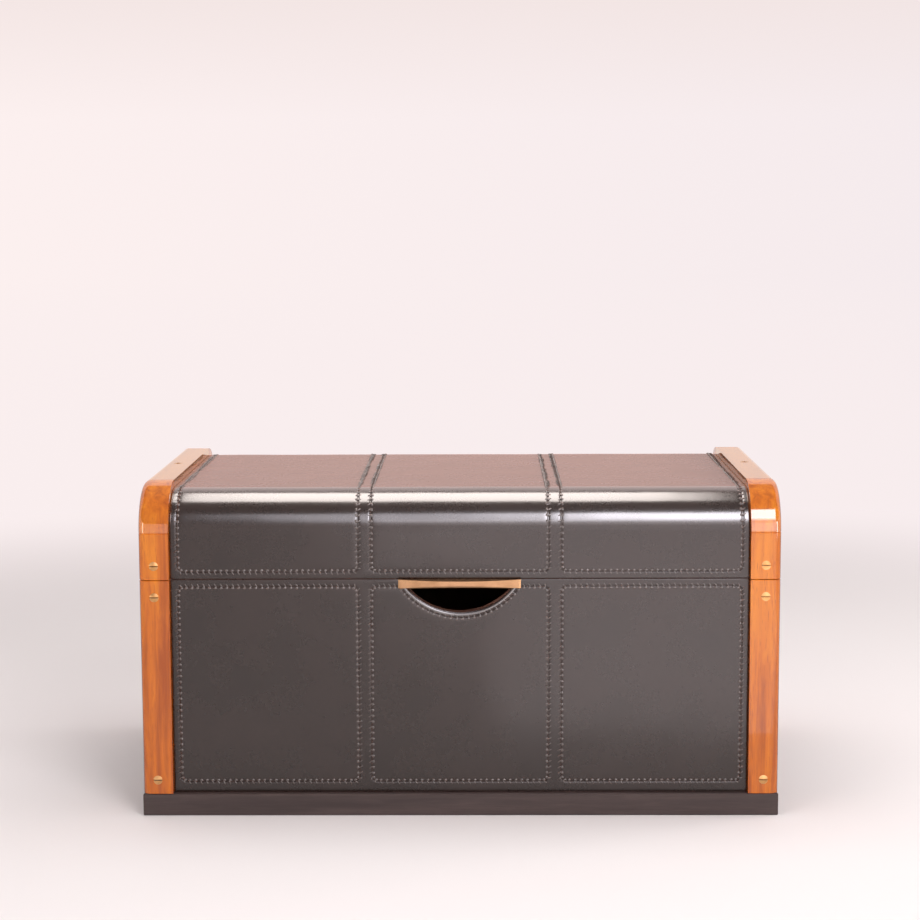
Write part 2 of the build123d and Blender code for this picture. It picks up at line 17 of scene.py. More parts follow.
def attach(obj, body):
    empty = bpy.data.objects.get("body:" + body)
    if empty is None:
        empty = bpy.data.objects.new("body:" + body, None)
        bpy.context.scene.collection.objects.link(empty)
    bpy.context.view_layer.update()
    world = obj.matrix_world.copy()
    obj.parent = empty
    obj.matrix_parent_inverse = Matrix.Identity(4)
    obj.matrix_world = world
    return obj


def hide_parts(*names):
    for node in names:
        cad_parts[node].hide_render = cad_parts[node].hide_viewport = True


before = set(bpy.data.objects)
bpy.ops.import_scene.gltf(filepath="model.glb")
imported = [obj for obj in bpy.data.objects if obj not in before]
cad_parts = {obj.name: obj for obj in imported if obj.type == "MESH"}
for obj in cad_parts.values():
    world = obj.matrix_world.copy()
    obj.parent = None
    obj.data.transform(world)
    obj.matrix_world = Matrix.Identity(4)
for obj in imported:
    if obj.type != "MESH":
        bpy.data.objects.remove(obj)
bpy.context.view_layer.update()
scene = bpy.context.scene
mm = 0.001
print("nodes in the frame:", len(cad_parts))

# %% [markdown]
# ## The camera
# The photograph was taken with a long lens, from about three metres away and a little above the trunk. A
# long lens keeps the upright edges nearly parallel, so the focal length matters as much as the place. The
# camera is turned about Z, then tilted down, then rolled by a hair, in that order, by multiplying three
# rotations.

# %% Camera
camera_place = Vector((0.0291, -2.7759, 0.7637))
turn, tilt_down, roll = radians(0.625), radians(6.988), radians(-0.222)
camera = bpy.data.objects.new("camera", bpy.data.cameras.new("camera"))
camera.data.lens = 81.27
camera.data.sensor_width = 36
camera.matrix_world = (
    Matrix.Translation(camera_place)
    @ Matrix.Rotation(turn, 4, "Z")
    @ Matrix.Rotation(pi / 2 - tilt_down, 4, "X")
    @ Matrix.Rotation(roll, 4, "Z")
)
scene.collection.objects.link(camera)
scene.camera = camera
scene.view_settings.view_transform = "Standard"

# %% [markdown]
# ## Nodes and colours
# Colours are easy to read as sRGB hex values, as in any paint program, but Blender mixes light in linear
# numbers, so one function turns the first into the second. A second function adds a shader node, sets its
# values and makes its links. A value that is itself a socket becomes a link, and anything else becomes a
# number or a colour.


# %% Helpers for materials
def linear(hex_colour):
    """The linear colour, with alpha, of an sRGB hex value such as #4a3b38."""
    parts = [int(hex_colour[i : i + 2], 16) / 255 for i in (1, 3, 5)]
    return [p / 12.92 if p <= 0.04045 else ((p + 0.055) / 1.055) ** 2.4 for p in parts] + [1]


def add_node(tree, kind, inputs=None, stops=None, **settings):
    """Adds a shader node: settings on the node, inputs by socket name or number, stops on its colour ramp."""
    made = tree.nodes.new("ShaderNode" + kind)
    for name, value in settings.items():
        setattr(made, name, value)
    for position, (place, hex_colour) in enumerate(stops or ()):
        ramp = made.color_ramp.elements
        stop = ramp[position] if position < 2 else ramp.new(place)
        stop.position, stop.color = place, linear(hex_colour)
    for name, value in (inputs or {}).items():
        if isinstance(value, bpy.types.NodeSocket):
            tree.links.new(value, made.inputs[name])
        else:
            made.inputs[name].default_value = value
    return made


def new_material(name):
    """An empty material and its node tree."""
    material = bpy.data.materials.new(name)
    material.use_nodes = True
    material.node_tree.nodes.clear()
    return material, material.node_tree


def finish_material(tree, shader):
    """Links the last shader to the material's output."""
    add_node(tree, "OutputMaterial", {"Surface": shader.outputs[0]})


# %% [markdown]
# ## The studio
# The trunk stands on a pale paper sweep. Here the floor and the wall are one bowl: a line from the middle
# of the floor outwards and up the wall, its corner rounded with a bevel, and spun all the way round, so
# that every view has the same pale background. Near the trunk the floor is plain paper that takes light
# and shadow. Far away it glows pale to the camera and to reflections only, so it adds no light, and shade
# is painted into that glow: it is a little darker high up the wall and on the right.

# %% Floor and wall
wall_distance, wall_height, wall_round = 20, 5.6, 1
bm = bmesh.new()
line = [bm.verts.new(place) for place in ((0, 0, 0), (wall_distance, 0, 0), (wall_distance, 0, wall_height))]
bm.edges.new(line[:2])
bm.edges.new(line[1:])
bmesh.ops.bevel(
    bm, geom=[line[1]], offset=wall_round, segments=8, profile=0.5, affect="VERTICES", material=-1
)
bmesh.ops.spin(
    bm, geom=bm.verts[:] + bm.edges[:], cent=(0, 0, 0), axis=(0, 0, 1), angle=2 * pi, steps=72, use_merge=True
)
bmesh.ops.remove_doubles(bm, verts=bm.verts, dist=1e-4)
bmesh.ops.recalc_face_normals(bm, faces=bm.faces)
if bm.faces[0].normal.z < 0:
    bmesh.ops.reverse_faces(bm, faces=bm.faces)
bmesh.ops.translate(bm, verts=bm.verts, vec=(0, 0, -0.0002))
sweep = bpy.data.objects.new("sweep", bpy.data.meshes.new("sweep"))
bm.to_mesh(sweep.data)
bm.free()
sweep.data.shade_smooth()
scene.collection.objects.link(sweep)

# %% Paper of the sweep
paper, tree = new_material("studio_paper")
place = add_node(tree, "TexCoord").outputs["Object"]
flat_place = add_node(tree, "VectorMath", {0: place, 1: (1, 1, 0)}, operation="MULTIPLY").outputs[0]
distance = add_node(tree, "VectorMath", {0: flat_place}, operation="LENGTH").outputs["Value"]
far = add_node(
    tree,
    "MapRange",
    {"Value": distance, "From Min": 1.1, "From Max": 2.6},
    interpolation_type="SMOOTHSTEP",
).outputs["Result"]
rays = add_node(tree, "LightPath").outputs
seen = add_node(
    tree, "Math", {0: rays["Is Camera Ray"], 1: rays["Is Glossy Ray"]}, operation="MAXIMUM"
).outputs[0]
seen = add_node(tree, "Math", {0: seen, 1: rays["Is Transmission Ray"]}, operation="MAXIMUM").outputs[0]
glow = add_node(tree, "Math", {0: far, 1: seen}, operation="MULTIPLY").outputs[0]
lit = add_node(tree, "BsdfDiffuse", {"Color": linear("#f1eaea")})
# Painted shade: the far glow is made a little darker higher up the wall and a little darker on the right.
apart = add_node(tree, "SeparateXYZ", {0: place}).outputs
up = add_node(tree, "MapRange", {"Value": apart["Z"], "From Min": 1.7, "From Max": 3.4}).outputs[0]
aside = add_node(tree, "MapRange", {"Value": apart["X"], "From Min": -5, "From Max": 5}).outputs[0]
pale = add_node(
    tree, "Mix", {0: aside, 6: linear("#fcf0ef"), 7: linear("#f5ebed")}, data_type="RGBA"
).outputs[2]
pale = add_node(tree, "Mix", {0: up, 6: pale, 7: linear("#f1e3e1")}, data_type="RGBA").outputs[2]
far_glow_with_painted_shade = add_node(tree, "Emission", {"Color": pale})
finish_material(
    tree, add_node(tree, "MixShader", {"Fac": glow, 1: lit.outputs[0], 2: far_glow_with_painted_shade.outputs[0]})
)
sweep.data.materials.append(paper)

# %% [markdown]
# ## The light
# Two bright bands run along the rounded front of the lid, and they tell where the lamps stood. The upper
# band is a wide soft box straight above the trunk. The lower one is a box in front on the right,
# brightest in its middle, so three boxes of growing width stand one behind the other there. A box that
# bright would burn the pale paper out, so some lamps only light things, at a plain level, and the others
# are only mirrored. Two weaker ones light the left and the right. Narrow boxes at both sides put a thin
# line on the rounds of the battens, and the bright floor and wall on the camera's side are what the
# upright leather mirrors faintly. No two lamps lie in one plane, because they would hide each other. A
# box's brightness is how bright its face looks when white paper in plain light is 1.


# %% Soft boxes
def soft_box(name, place, aim, width, depth, brightness, tint="#ffffff", mirrored=False):
    """A rectangular lamp that points from place to aim, and either lights things or is only mirrored."""
    lamp = bpy.data.lights.new(name, "AREA")
    lamp.shape, lamp.size, lamp.size_y = "RECTANGLE", width, depth
    lamp.energy = brightness * pi * width * depth
    lamp.color = linear(tint)[:3]
    box = bpy.data.objects.new(name, lamp)
    box.location = place
    box.rotation_euler = (Vector(aim) - Vector(place)).to_track_quat("-Z", "Y").to_euler()
    box.visible_camera = False
    box.visible_diffuse = not mirrored
    box.visible_glossy = mirrored
    scene.collection.objects.link(box)
    return box


soft_box("overhead_light", (-0.07, 0.0, 2.1), (-0.07, 0.0, 0), 1.3, 1.3, 2.6)
soft_box("front_light", (0.85, -2.2, 1.85), (0.0, -0.2, 0.35), 1.0, 0.9, 10)
soft_box("left_light", (-1.6, -2.0, 1.5), (-0.3, -0.2, 0.2), 1.2, 1.2, 2.3)
soft_box("side_light", (2.3, 0.3, 1.1), (0.2, 0.0, 0.2), 1.3, 1.3, 3.5)
# Name, place, aim, width, depth, brightness and tint of each lamp that is only mirrored.
mirrored = (
    ("overhead_mirrored", (-0.06, 0.18, 2.0), (-0.06, 0.18, 0), 1.06, 1.12, 5.6, "#fff4ee"),
    ("front_mirrored", (0.72, -2.1, 1.75), (0.0, -0.2, 0.35), 0.9, 0.85, 4.2, "#fbf6ff"),
    ("front_mirrored_middle", (0.65, -2.14, 1.72), (0.0, -0.2, 0.35), 1.2, 1.0, 1.8, "#fbf6ff"),
    ("front_mirrored_wide", (0.4, -2.18, 1.68), (-0.1, -0.2, 0.35), 1.9, 1.15, 1.8, "#fbf6ff"),
    ("right_mirrored", (1.95, -1.75, 0.45), (0.0, -0.2, 0.3), 0.5, 0.9, 8, "#ffffff"),
    ("left_mirrored", (-1.9, -1.9, 0.5), (0.0, -0.2, 0.3), 0.5, 0.9, 4, "#ffffff"),
    ("floor_mirrored", (0.75, -2.15, 0.01), (0.75, -2.15, 1), 1.4, 3.1, 1.2, "#fff2f4"),
    ("floor_mirrored_left", (-0.1, -2.85, 0.012), (-0.1, -2.85, 1), 0.3, 1.7, 2.8, "#fff2f4"),
    ("wall_mirrored", (1.15, -4.6, 1.3), (1.15, 0.0, 1.3), 3.0, 2.6, 1.5, "#fff6fa"),
)
for name, place, aim, width, depth, brightness, tint in mirrored:
    soft_box(name, place, aim, width, depth, brightness, tint, mirrored=True)

# %% [markdown]
# ## The room
# Behind the trunk the paper goes up well above it, and the polished top mirrors it. Overhead and on the
# camera's side the room is dim, so the wood keeps its colour. The world gives that to the camera and to
# reflections, and an even soft fill to everything else.

# %% World
world = bpy.data.worlds.new("studio_room")
world.use_nodes = True
tree = world.node_tree
tree.nodes.clear()
way = add_node(tree, "SeparateXYZ", {0: add_node(tree, "TexCoord").outputs["Generated"]}).outputs
low = add_node(tree, "MapRange", {"Value": way["Z"], "From Min": 0.81, "From Max": 0.75}).outputs[0]
behind = add_node(tree, "MapRange", {"Value": way["Y"], "From Min": -0.2, "From Max": 0.1}).outputs[0]
papered = add_node(tree, "Math", {0: low, 1: behind}, operation="MULTIPLY").outputs[0]
shown = add_node(
    tree, "Mix", {0: papered, 6: linear("#6a6362"), 7: linear("#f6ebea")}, data_type="RGBA"
).outputs[2]
shown = add_node(tree, "Background", {"Color": shown})
fill = add_node(tree, "Background", {"Color": linear("#fffaf8"), "Strength": 0.5})
rays = add_node(tree, "LightPath").outputs
both = add_node(tree, "MixShader", {0: rays["Is Diffuse Ray"], 1: shown.outputs[0], 2: fill.outputs[0]})
add_node(tree, "OutputWorld", {"Surface": both.outputs[0]})
scene.world = world

# %% [markdown]
# ## Leather
# The leather is cowhide, tanned with bark, dyed dark brown and polished with wax. The dye is cloudy over
# a hand's width, and where the hide is turned over an edge the wax is rubbed thin and the colour is
# warmer. The pores are under a millimetre, too fine to show from three metres, so they are drawn about
# 1.6 mm apart. The lid's rounded front and back are polished hardest and mirror the lamps, so the
# shader's coat is full there and thin elsewhere, by the place on the trunk. A float called wear is stored
# on the mesh near its edges.


# %% Leather material
# Where the lid's bends start and are fully polished, in metres: out from the middle, and up.
bend_y, bend_z = (0.169, 0.174), (0.368, 0.377)


def leather_material(name, dark, light, worn, roughness, ior=1.5, polish=None):
    """Waxed hide with a cloudy dye, fine pores and rubbed edges, polished all over or at the lid's bends."""
    material, tree = new_material(name)
    place = add_node(tree, "TexCoord").outputs["Object"]
    if polish is None:
        apart = add_node(tree, "SeparateXYZ", {0: place}).outputs
        outward = add_node(tree, "Math", {0: apart["Y"]}, operation="ABSOLUTE").outputs[0]
        over = add_node(
            tree, "MapRange", {"Value": outward, "From Min": bend_y[0], "From Max": bend_y[1]}
        ).outputs["Result"]
        bend = add_node(
            tree,
            "MapRange",
            {"Value": apart["Z"], "From Min": bend_z[0], "From Max": bend_z[1], "To Max": over},
        ).outputs["Result"]
        polish = add_node(tree, "MapRange", {"Value": bend, "To Min": 0.12, "To Max": 1}).outputs["Result"]
    clouds = add_node(tree, "TexNoise", {"Vector": place, "Scale": 1 / 0.07, "Detail": 2, "Roughness": 0.6})
    specks = add_node(tree, "TexNoise", {"Vector": place, "Scale": 1 / 0.006, "Detail": 3, "Roughness": 0.7})
    cloudy = add_node(
        tree, "Mix", {0: 0.35, 2: clouds.outputs["Fac"], 3: specks.outputs["Fac"]}, data_type="FLOAT"
    )
    dye = add_node(tree, "ValToRGB", {"Fac": cloudy.outputs[0]}, stops=((0.3, dark), (0.7, light)))
    wear = add_node(tree, "Attribute", attribute_name="wear").outputs["Fac"]
    rubbed = add_node(tree, "Math", {0: wear, 1: specks.outputs["Fac"]}, operation="MULTIPLY").outputs[0]
    colour = add_node(
        tree, "Mix", {0: rubbed, 6: dye.outputs["Color"], 7: linear(worn)}, data_type="RGBA"
    ).outputs[2]
    shine = add_node(
        tree,
        "MapRange",
        {
            "Value": cloudy.outputs[0],
            "From Min": 0.3,
            "From Max": 0.7,
            "To Min": roughness - 0.01,
            "To Max": roughness + 0.02,
        },
    ).outputs["Result"]
    pores = add_node(tree, "TexVoronoi", {"Vector": place, "Scale": 1 / 0.0016}, feature="SMOOTH_F1")
    grain = add_node(tree, "TexNoise", {"Vector": place, "Scale": 1 / 0.004, "Detail": 5, "Roughness": 0.65})
    height = add_node(
        tree, "Mix", {0: 0.6, 2: pores.outputs["Distance"], 3: grain.outputs["Fac"]}, data_type="FLOAT"
    ).outputs[0]
    bump = add_node(tree, "Bump", {"Height": height, "Strength": 0.22, "Distance": 0.0002})
    shader = add_node(
        tree,
        "BsdfPrincipled",
        {
            "Base Color": colour,
            "Roughness": shine,
            "Normal": bump.outputs[0],
            "IOR": ior,
            "Coat Weight": polish,
            "Coat Roughness": 0.17,
            "Coat IOR": 2.1,
            "Sheen Weight": 0.58,
            "Sheen Roughness": 0.35,
            "Sheen Tint": linear("#ffb49c"),
        },
    )
    finish_material(tree, shader)
    return material


hide = leather_material("waxed_cowhide", "#1f130e", "#2b1d18", "#42302a", 0.27)
rim_hide = leather_material("polished_cowhide", "#1f130e", "#2b1d18", "#42302a", 0.27, polish=1.0)
lace = leather_material("waxed_leather_lace", "#32261f", "#493b34", "#54453d", 0.29, ior=1.8, polish=0.55)

# %% [markdown]
# ## Lacquered wood
# The end frames are made of a warm hardwood such as teak, under many coats of clear lacquer. The eye sees
# long streaks of a darker orange along each batten, fine dark pores, and a hard clear shine on top. So
# the grain is noise that is stretched along the batten, and the shine is the shader's coat, smooth over a
# duller wood. The grain runs upwards in posts and corner blocks and front to back in the top rails. The
# coat mirrors more on level faces than on upright ones. On the outer rounds, where the eye looks along
# the surface, shade is painted into the colour, so the wood is darker there.


# %% Wood material
def wood_material(
    name, stretch, colours, streak, roughness, coat=0.0, coat_ior=1.5, level_ior=1.5, rim=0.0
):
    """Streaky wood: stretch says how much longer the grain is than wide along X, Y and Z."""
    material, tree = new_material(name)
    place = add_node(tree, "TexCoord").outputs["Object"]
    grain_place = add_node(tree, "Mapping", {"Vector": place, "Scale": [1 / s for s in stretch]}).outputs[0]
    streaks = add_node(
        tree,
        "TexNoise",
        {"Vector": grain_place, "Scale": 1 / streak, "Detail": 5, "Roughness": 0.6, "Distortion": 0.6},
    )
    bands = add_node(
        tree,
        "TexNoise",
        {"Vector": grain_place, "Scale": 0.3 / streak, "Detail": 2, "Roughness": 0.5},
    )
    tone = add_node(
        tree, "Mix", {0: 0.45, 2: streaks.outputs["Fac"], 3: bands.outputs["Fac"]}, data_type="FLOAT"
    )
    ramp = add_node(
        tree,
        "ValToRGB",
        {"Fac": tone.outputs[0]},
        stops=((0.37, colours[0]), (0.63, colours[2]), (0.5, colours[1])),
    )
    pores = add_node(
        tree,
        "TexNoise",
        {"Vector": grain_place, "Scale": 1 / 0.0012, "Detail": 1, "Roughness": 0.5},
    )
    pore_mask = add_node(
        tree,
        "MapRange",
        {"Value": pores.outputs["Fac"], "From Min": 0.62, "From Max": 0.72, "To Max": 0.5},
    )
    colour = add_node(
        tree,
        "Mix",
        {0: pore_mask.outputs["Result"], 6: ramp.outputs["Color"], 7: linear(colours[0])},
        data_type="RGBA",
    ).outputs[2]
    # Painted shade: on the outer rounds, where the eye looks along them, the colour is darkened towards
    # #2a1206, as far as rim says.
    slant = add_node(tree, "LayerWeight", {"Blend": 0.5}).outputs["Facing"]
    normal = add_node(tree, "SeparateXYZ", {0: add_node(tree, "NewGeometry").outputs["Normal"]}).outputs
    upright = add_node(
        tree, "MapRange", {"Value": normal["Z"], "From Min": 0.7, "From Max": 0.2, "To Max": rim}
    ).outputs["Result"]
    apart = add_node(tree, "SeparateXYZ", {0: place}).outputs
    side = add_node(tree, "Math", {0: apart["X"]}, operation="SIGN").outputs[0]
    outward = add_node(tree, "Math", {0: normal["X"], 1: side}, operation="MULTIPLY").outputs[0]
    outer = add_node(
        tree, "MapRange", {"Value": outward, "From Min": -0.1, "From Max": 0.25, "To Max": upright}
    ).outputs["Result"]
    painted_edge_shade = add_node(
        tree, "MapRange", {"Value": slant, "From Min": 0.42, "From Max": 0.8, "To Max": outer}
    ).outputs["Result"]
    colour = add_node(
        tree, "Mix", {0: painted_edge_shade, 6: colour, 7: linear("#2a1206")}, data_type="RGBA"
    ).outputs[2]
    gloss = add_node(
        tree,
        "MapRange",
        {"Value": normal["Z"], "From Min": 0.8, "From Max": 0.98, "To Min": coat_ior, "To Max": level_ior},
    ).outputs["Result"]
    bump = add_node(
        tree, "Bump", {"Height": streaks.outputs["Fac"], "Strength": 0.15, "Distance": 0.0003}
    )
    shader = add_node(
        tree,
        "BsdfPrincipled",
        {
            "Base Color": colour,
            "Roughness": roughness,
            "Normal": bump.outputs[0],
            "Coat Weight": coat,
            "Coat Roughness": 0.04,
            "Coat Tint": linear("#ffdc9c"),
            "Coat IOR": gloss,
        },
    )
    finish_material(tree, shader)
    return material


teak = ("#a4500a", "#cc7810", "#e0941e")
rail_wood = ("#9c4e08", "#bd7010", "#cc8418")
upright_teak = wood_material("lacquered_teak_upright", (1, 1, 14), teak, 0.009, 0.5, 1.0, 1.5, 2.2, rim=0.85)
corner_teak = wood_material("lacquered_teak_corner", (1, 1, 14), teak, 0.009, 0.5, 1.0, 2.0, 2.5, rim=0.85)
rail_teak = wood_material("lacquered_teak_rail", (1, 14, 1), rail_wood, 0.009, 0.14, 1.0, 1.9, 2.5)
ebonised = ("#382b29", "#423432", "#4c3d3a")
long_plinth = wood_material("ebonised_wood_long", (14, 1, 1), ebonised, 0.006, 0.38)
short_plinth = wood_material("ebonised_wood_short", (1, 14, 1), ebonised, 0.006, 0.38)
birch = ("#9a7c52", "#c3a677", "#d6bd90")
plywood = wood_material("birch_plywood", (1, 1, 9), birch, 0.005, 0.6)


# %% [markdown]
# ## Brass and cloth
# The brass is cast, turned and polished, then left without lacquer, so it has gone a little brown. Its
# shine is soft from fine rubbing marks, and its colour is darkened in screw slots and corners, where
# ambient occlusion finds them. The lining is brushed cotton, glued to card: its weave is a fine twill,
# drawn 1.2 mm wide.


# %% Brass and cotton materials
def brass_material(name, colour, shade, roughness, cloud=0.006):
    """Rubbed brass: metallic, with cloudy tarnish, fine marks, and darker where ambient occlusion finds slots
    and corners.
    """
    material, tree = new_material(name)
    place = add_node(tree, "TexCoord").outputs["Object"]
    tarnish = add_node(tree, "TexNoise", {"Vector": place, "Scale": 1 / cloud, "Detail": 4})
    tone = add_node(
        tree, "ValToRGB", {"Fac": tarnish.outputs["Fac"]}, stops=((0.35, shade), (0.6, colour))
    )
    # The colour is darkened towards #5a3516 where ambient occlusion finds slots and corners.
    open_sky = add_node(tree, "AmbientOcclusion", {"Distance": 0.002}, samples=8, only_local=True)
    unoccluded = add_node(
        tree, "MapRange", {"Value": open_sky.outputs["AO"], "From Min": 0.35, "From Max": 0.8}
    ).outputs["Result"]
    colour = add_node(
        tree, "Mix", {0: unoccluded, 6: linear("#5a3516"), 7: tone.outputs["Color"]}, data_type="RGBA"
    ).outputs[2]
    long_place = add_node(tree, "Mapping", {"Vector": place, "Scale": (0.05, 1, 1)}).outputs[0]
    marks = add_node(tree, "TexNoise", {"Vector": long_place, "Scale": 1 / 0.0005, "Detail": 2})
    shine = add_node(
        tree,
        "MapRange",
        {"Value": marks.outputs["Fac"], "To Min": roughness - 0.06, "To Max": roughness + 0.06},
    )
    bump = add_node(
        tree, "Bump", {"Height": marks.outputs["Fac"], "Strength": 0.08, "Distance": 0.0001}
    )
    shader = add_node(
        tree,
        "BsdfPrincipled",
        {
            "Base Color": colour,
            "Metallic": 1.0,
            "Roughness": shine.outputs["Result"],
            "Normal": bump.outputs[0],
        },
    )
    finish_material(tree, shader)
    return material


pull_brass = brass_material("rubbed_bronze_brass", "#ae8866", "#9f7b59", 0.22, cloud=0.02)
screw_brass = brass_material("turned_brass", "#d8a872", "#c08e58", 0.3)
fitting_brass = brass_material("satin_brass", "#d4aa6c", "#c09658", 0.32)

cotton, tree = new_material("brushed_cotton")
place = add_node(tree, "TexCoord").outputs["Object"]
twill = add_node(
    tree,
    "TexWave",
    {"Vector": place, "Scale": 2 * pi / 20 / 0.0012, "Distortion": 0.6, "Detail": 1},
    bands_direction="DIAGONAL",
)
fuzz = add_node(tree, "TexNoise", {"Vector": place, "Scale": 1 / 0.02, "Detail": 6, "Roughness": 0.7})
cloth_tone = add_node(
    tree, "Mix", {0: 0.6, 2: twill.outputs["Fac"], 3: fuzz.outputs["Fac"]}, data_type="FLOAT"
)
cloth_colour = add_node(
    tree, "ValToRGB", {"Fac": cloth_tone.outputs[0]}, stops=((0.2, "#6a4a42"), (0.8, "#8a665a"))
)
cloth_bump = add_node(tree, "Bump", {"Height": twill.outputs["Fac"], "Strength": 0.3, "Distance": 0.0003})
finish_material(
    tree,
    add_node(
        tree,
        "BsdfPrincipled",
        {
            "Base Color": cloth_colour.outputs["Color"],
            "Roughness": 0.9,
            "Normal": cloth_bump.outputs[0],
            "Sheen Weight": 0.3,
            "Sheen Roughness": 0.4,
        },
    ),
)

# %% [markdown]
# ## A finish for every solid that stays
# The record says which finish each solid takes. The battens are told apart by the way their grain runs.

# %% Give the kept solids their finishes
for name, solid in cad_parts.items():
    if name.startswith("plinth_"):
        finish = long_plinth if name in ("plinth_front", "plinth_back") else short_plinth
    elif name.endswith("_rail"):
        finish = rail_teak
    elif name.endswith("_corner"):
        finish = corner_teak
    elif name.endswith("_post"):
        finish = upright_teak
    elif name.endswith(("_board", "_bend")):
        finish = plywood
    elif name in ("post_screws", "lid_frame_screws"):
        finish = screw_brass
    elif name.endswith("_lining"):
        finish = cotton
    elif name.endswith(("_leather", "_panel")):
        finish = hide
    else:
        finish = fitting_brass
    solid.data.materials.clear()
    solid.data.materials.append(finish)

# %% [markdown]
# ## Sizes that the leather follows
# These repeat the sizes of the solids, in millimetres. The lid's leather is cut flat and then laid over
# the arch, so its places are measured along the arch from the lid's front edge. The same arch, smaller,
# carries the lining inside the lid.

# %% Sizes
body_top, lid_base = 300.7, 301.3
foot = 28.0
board_x, board_y = 388.0, 218.0
box_floor = 40.0
inner_x, inner_y = 375.9, 205.9
arc_y, arc_z = 170.0, 360.0
skin_radius = 49.3
skin_y = arc_y + skin_radius
skin_half = 361.9
end_x, end_half, end_radius, end_top = 389.2, 191.9, 21.9, 381.9
lining_radius = 35.9
groove = 0.9
panel_corner = 7.0
panels = {"left": (-352.5, -127.25), "centre": (-110.75, 110.75), "right": (127.25, 352.5)}
panel_low, panel_high = 42.0, 291.3
seam_border = 9.4
cutout_centre, cutout_radius = 341.7, 84.0
rim_strip = 5.2
edge_play = 0.1


def arch_stops(radius):
    """Distances along an arch at which its wall, bend, top, bend and wall end."""
    wall, bend = arc_z - lid_base, radius * pi / 2
    return [
        wall,
        wall + bend,
        wall + bend + 2 * arc_y,
        wall + 2 * bend + 2 * arc_y,
        2 * (wall + bend + arc_y),
    ]


def over_arch(v, radius, h):
    """Y and Z of a place v along an arch and h outside it."""
    wall, bend_end, _, _, length = arch_stops(radius)
    way = min(v, length - v)
    if way < wall:
        y, z = arc_y + radius + h, lid_base + way
    elif way < bend_end:
        angle = (way - wall) / radius
        y, z = arc_y + (radius + h) * cos(angle), arc_z + (radius + h) * sin(angle)
    else:
        y, z = arc_y - (way - bend_end), arc_z + radius + h
    return (y if v > length / 2 else -y), z


# Each of these turns a place on a flat sheet into a place on the trunk. u and v lie on the sheet, and h
# stands out of it.
places = {
    "front": lambda u, v, h: (u, -skin_y - h, v),
    "back": lambda u, v, h: (-u, skin_y + h, v),
    "left_end": lambda u, v, h: (-end_x - h, -u, v),
    "right_end": lambda u, v, h: (end_x + h, u, v),
    "arch": lambda u, v, h: (u, *over_arch(v, skin_radius, h)),
    "box_floor": lambda u, v, h: (u, v, box_floor + h),
    "box_front": lambda u, v, h: (u, h - inner_y, v),
    "box_back": lambda u, v, h: (u, inner_y - h, v),
    "inner_left": lambda u, v, h: (h - inner_x, u, v),
    "inner_right": lambda u, v, h: (inner_x - h, u, v),
    "inner_arch": lambda u, v, h: (u, *over_arch(v, lining_radius, -h)),
    "box_edge": lambda u, v, h: (u, v, body_top - edge_play + h),
    "lid_edge": lambda u, v, h: (u, v, lid_base + edge_play - h),
}
arch_length = arch_stops(skin_radius)[-1]
print("length of leather over the lid:", round(arch_length, 1), "mm")

# %% [markdown]
# ## Cutting a sheet of leather
# A sheet starts as outlines on the flat, in millimetres: rectangles with bevelled corners, and a bite
# where the finger hole cuts in. The outlines are filled, pulled up to a thin slab, and its top is inset a
# few times, each time a little higher, which gives the soft pillow edge of leather that is pulled down by
# its lacing. Cuts across the slab give it enough points to bend over the lid and to be a little uneven,
# as hide is. Last, each point is moved to its place on the trunk.


# %% Outlines and sheets
def outline(left, low, right, high, corner, top_corner=None, bite=None):
    """A closed line round a rectangle. bite is the height of a circle's centre and its radius."""
    bm = bmesh.new()
    points = [bm.verts.new((x, y, 0)) for x, y in ((left, low), (right, low), (right, high), (left, high))]
    if bite:
        centre, radius = bite
        half = sqrt(radius**2 - (centre - high) ** 2)
        start = bm.verts.new((half, high, 0))
        turn_back = -2 * asin(half / radius)
        bmesh.ops.spin(bm, geom=[start], cent=(0, centre, 0), axis=(0, 0, 1), angle=turn_back, steps=36)
        bm.verts.ensure_lookup_table()
        bm.edges.new((points[2], start))
        bm.edges.new((bm.verts[-1], points[3]))
    else:
        bm.edges.new((points[2], points[3]))
    for a, b in ((0, 1), (1, 2), (3, 0)):
        bm.edges.new((points[a], points[b]))
    bmesh.ops.contextual_create(bm, geom=bm.edges[:])
    top_corner = corner if top_corner is None else top_corner
    for radius, pair in ((corner, points[:2]), (top_corner, points[2:])):
        if radius:
            bmesh.ops.bevel(
                bm, geom=pair, offset=radius, segments=6, profile=0.5, affect="VERTICES", material=-1
            )
    bmesh.ops.delete(bm, geom=bm.faces[:], context="FACES_ONLY")
    mesh = bpy.data.meshes.new("outline")
    bm.to_mesh(mesh)
    bm.free()
    return mesh


# Each step of an edge is how far in it goes and how far it rises, in millimetres.
pillow_edge = ((0.12, 0.42), (0.25, 0.34), (0.45, 0.24), (0.8, 0.14), (1.4, 0.09), (2.2, 0.05))
strip_edge = ((0.12, 0.38), (0.22, 0.3), (0.4, 0.22), (0.75, 0.14), (1.0, 0.06))
card_edge = ((0.15, 0.45), (0.35, 0.4), (0.7, 0.25), (1.2, 0.1))
band_edge = ((0.1, 0.1),)
# How far apart the cuts round the lid's bends are, and above what height a sheet is uneven.
bend_step, rough_above = 3.3, 0.3


